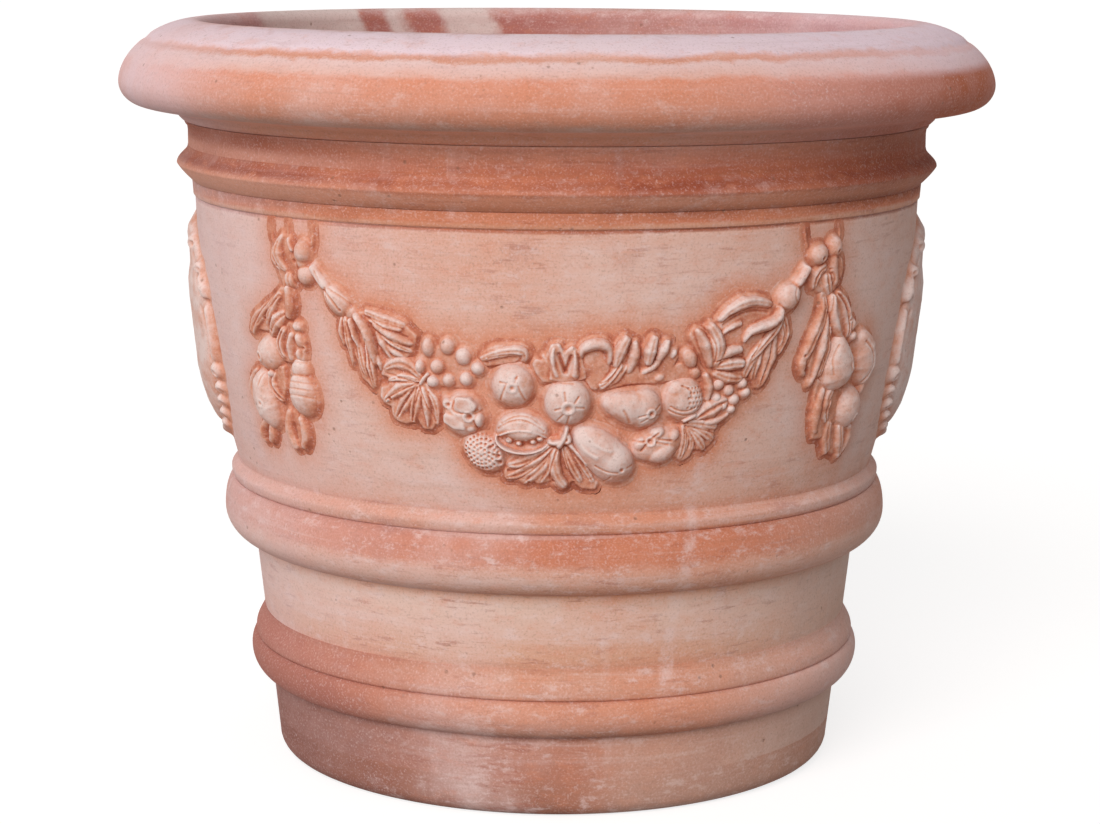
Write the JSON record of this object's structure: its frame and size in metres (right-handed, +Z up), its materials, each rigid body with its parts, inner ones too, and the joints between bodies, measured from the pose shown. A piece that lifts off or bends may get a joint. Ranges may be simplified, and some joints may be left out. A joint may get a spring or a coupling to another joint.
{
  "type": "terracotta planter",
  "caption": "Round terracotta planter with a rolled rim, waist and foot bands, fruit garlands hung from ribbon knots and plain side shields, for standing on the floor.",
  "frame": {"origin": "on the floor under the middle of the pot", "axes": "+Z up the pot's axis of turning, -Y towards the front garland, +X to the right of someone who faces that garland"},
  "size_m": [1.002, 1.002, 0.85],
  "materials": {
    "wall_clay": "matte, scraped, with a pale bloom",
    "band_clay": "matte, wiped, redder in the grooves",
    "rim_clay": "matte, smooth, with pale rings",
    "fruit_clay": "matte, pressed, pale on the high spots",
    "leaf_clay": "matte, pressed, orange in the hollows",
    "shield_clay": "matte, pressed, plain field"
  },
  "bodies": {
    "root": {"base_slab": "band_clay", "lower_wall": "wall_clay", "upper_wall": "wall_clay", "foot_roll": "band_clay", "foot_fillet": "band_clay", "waist_roll": "band_clay", "waist_fillet": "band_clay", "collar_strip": "band_clay", "collar_bead": "rim_clay", "neck_ring": "rim_clay", "rim_roll": "rim_clay", "left_shield": "shield_clay", "right_shield": "shield_clay", "front_left_knot": "leaf_clay", "front_right_knot": "leaf_clay", "front_left_drop_leaves": "leaf_clay", "front_left_drop_fruit": "fruit_clay", "front_right_drop_leaves": "leaf_clay", "front_right_drop_fruit": "fruit_clay", "front_stem_buds": "fruit_clay", "front_left_acanthus": "leaf_clay", "front_right_acanthus": "leaf_clay", "front_vine_leaf": "leaf_clay", "front_fan_leaf": "leaf_clay", "front_top_leaves": "leaf_clay", "front_bottom_leaves": "leaf_clay", "front_grapes": "fruit_clay", "front_apple": "fruit_clay", "front_pomegranate": "fruit_clay", "front_medlar": "fruit_clay", "front_split_pod": "fruit_clay", "front_pine_cone": "fruit_clay", "front_quince": "fruit_clay", "front_pear": "fruit_clay", "front_star_fruit": "fruit_clay", "front_rough_fruit": "fruit_clay", "back_left_knot": "leaf_clay", "back_right_knot": "leaf_clay", "back_left_drop_leaves": "leaf_clay", "back_left_drop_fruit": "fruit_clay", "back_right_drop_leaves": "leaf_clay", "back_right_drop_fruit": "fruit_clay", "back_stem_buds": "fruit_clay", "back_left_acanthus": "leaf_clay", "back_right_acanthus": "leaf_clay", "back_vine_leaf": "leaf_clay", "back_fan_leaf": "leaf_clay", "back_top_leaves": "leaf_clay", "back_bottom_leaves": "leaf_clay", "back_grapes": "fruit_clay", "back_apple": "fruit_clay", "back_pomegranate": "fruit_clay", "back_medlar": "fruit_clay", "back_split_pod": "fruit_clay", "back_pine_cone": "fruit_clay", "back_quince": "fruit_clay", "back_pear": "fruit_clay", "back_star_fruit": "fruit_clay", "back_rough_fruit": "fruit_clay"}
  },
  "joints": []
}
